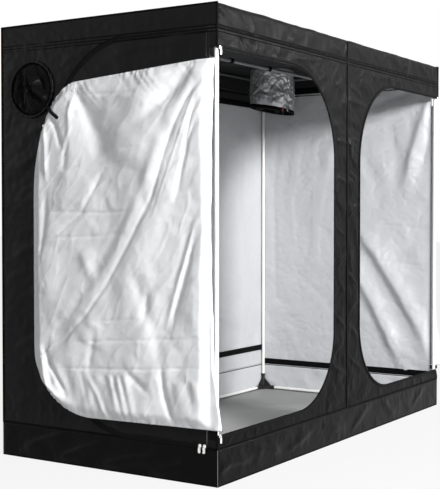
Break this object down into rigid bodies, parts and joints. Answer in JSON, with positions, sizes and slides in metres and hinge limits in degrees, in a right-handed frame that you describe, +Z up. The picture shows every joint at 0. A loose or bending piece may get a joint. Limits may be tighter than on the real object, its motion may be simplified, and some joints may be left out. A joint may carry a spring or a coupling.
{
  "type": "indoor grow tent",
  "caption": "Black rectangular indoor grow tent on a pole frame, with two front doors rolled open round the corners, a zipped side door and duct ports.",
  "frame": {"origin": "centre of the footprint on the ground", "axes": "+X along the front from left to right, +Y from the front to the back, +Z up"},
  "size_m": [2.463, 1.2105, 2],
  "materials": {
    "pole_paint": "satin",
    "bar_paint": "satin",
    "connector_plastic": "satin",
    "black_cloth": "matte",
    "band_cloth": "matte",
    "skirt_cloth": "satin",
    "silver_lining": "satin",
    "webbing": "matte",
    "nickel": "polished"
  },
  "bodies": {
    "tent": {"upright_front_left": "pole_paint", "upright_front_centre": "pole_paint", "upright_front_right": "pole_paint", "upright_back_left": "pole_paint", "upright_back_centre": "pole_paint", "upright_back_right": "pole_paint", "floor_rail_front_left": "pole_paint", "floor_rail_front_right": "pole_paint", "floor_rail_back_left": "pole_paint", "floor_rail_back_right": "pole_paint", "top_rail_front_left": "pole_paint", "top_rail_front_right": "pole_paint", "top_rail_back_left": "pole_paint", "top_rail_back_right": "pole_paint", "floor_rail_left": "pole_paint", "floor_rail_right": "pole_paint", "top_rail_left": "pole_paint", "top_rail_right": "pole_paint", "ceiling_bar": "bar_paint", "bar_hanger_left": "connector_plastic", "bar_hanger_right": "connector_plastic", "corner_bottom_front_left": "connector_plastic", "corner_bottom_front_right": "connector_plastic", "corner_bottom_back_left": "connector_plastic", "corner_bottom_back_right": "connector_plastic", "corner_top_front_left": "connector_plastic", "corner_top_front_right": "connector_plastic", "corner_top_back_left": "connector_plastic", "corner_top_back_right": "connector_plastic", "tee_bottom_front": "connector_plastic", "tee_bottom_back": "connector_plastic", "tee_top_front": "connector_plastic", "tee_top_back": "connector_plastic", "floor_tray": "skirt_cloth", "roof_canopy": "band_cloth", "front_panel": "black_cloth", "back_wall": "black_cloth", "left_wall": "black_cloth", "right_wall": "black_cloth", "left_side_door": "black_cloth", "left_side_zip": "webbing", "duct_sock": "black_cloth", "duct_ring": "webbing", "roof_sleeve": "silver_lining", "zip_slider_side_front": "nickel"},
    "left_door": {"left_front_door": "silver_lining", "left_door_strap": "webbing"},
    "right_door": {"right_front_door": "silver_lining", "right_door_strap": "webbing"},
    "left_top_slider": {"zip_slider_left_top": "nickel"},
    "left_top_pull": {"zip_pull_left_top": "nickel"},
    "left_bottom_slider": {"zip_slider_left_bottom": "nickel"},
    "left_bottom_pull": {"zip_pull_left_bottom": "nickel"},
    "right_top_slider": {"zip_slider_right_top": "nickel"},
    "right_top_pull": {"zip_pull_right_top": "nickel"},
    "right_bottom_slider": {"zip_slider_right_bottom": "nickel"},
    "right_bottom_pull": {"zip_pull_right_bottom": "nickel"},
    "side_back_slider": {"zip_slider_side_back": "nickel"},
    "side_back_pull": {"zip_pull_side_back": "nickel"},
    "side_front_pull": {"zip_pull_side_front": "nickel"}
  },
  "joints": [
    {"name": "left_door_hinge", "type": "hinge", "parent": "tent", "child": "left_door", "pos_m": [-1.21175, -0.61175, 1], "axis": [0, 0, 1], "range_deg": [0, 270]},
    {"name": "right_door_hinge", "type": "hinge", "parent": "tent", "child": "right_door", "pos_m": [1.21175, -0.61175, 1], "axis": [0, 0, 1], "range_deg": [-270, 0]},
    {"name": "left_top_zip_slide", "type": "slide", "parent": "tent", "child": "left_top_slider", "axis": [1, 0, 0], "range_m": [0, 0.55]},
    {"name": "left_top_pull_swing", "type": "hinge", "parent": "left_top_slider", "child": "left_top_pull", "pos_m": [-1.186, -0.6081, 1.815], "axis": [-1, 0, 0], "range_deg": [0, 120]},
    {"name": "left_bottom_zip_slide", "type": "slide", "parent": "tent", "child": "left_bottom_slider", "axis": [1, 0, 0], "range_m": [0, 0.55]},
    {"name": "left_bottom_pull_swing", "type": "hinge", "parent": "left_bottom_slider", "child": "left_bottom_pull", "pos_m": [-1.186, -0.6081, 0.212], "axis": [-1, 0, 0], "range_deg": [0, 120]},
    {"name": "right_top_zip_slide", "type": "slide", "parent": "tent", "child": "right_top_slider", "axis": [-1, 0, 0], "range_m": [0, 0.55]},
    {"name": "right_top_pull_swing", "type": "hinge", "parent": "right_top_slider", "child": "right_top_pull", "pos_m": [1.186, -0.6081, 1.815], "axis": [-1, 0, 0], "range_deg": [0, 120]},
    {"name": "right_bottom_zip_slide", "type": "slide", "parent": "tent", "child": "right_bottom_slider", "axis": [-1, 0, 0], "range_m": [0, 0.55]},
    {"name": "right_bottom_pull_swing", "type": "hinge", "parent": "right_bottom_slider", "child": "right_bottom_pull", "pos_m": [1.186, -0.6081, 0.212], "axis": [-1, 0, 0], "range_deg": [0, 120]},
    {"name": "side_back_zip_slide", "type": "slide", "parent": "tent", "child": "side_back_slider", "axis": [0, 1, 0], "range_m": [0, 0.33]},
    {"name": "side_back_pull_swing", "type": "hinge", "parent": "side_back_slider", "child": "side_back_pull", "pos_m": [-1.2096, -0.515, 0.166], "axis": [0, 1, 0], "range_deg": [0, 120]},
    {"name": "side_front_pull_swing", "type": "hinge", "parent": "tent", "child": "side_front_pull", "pos_m": [-1.2096, -0.538, 0.166], "axis": [0, 1, 0], "range_deg": [0, 120]}
  ]
}
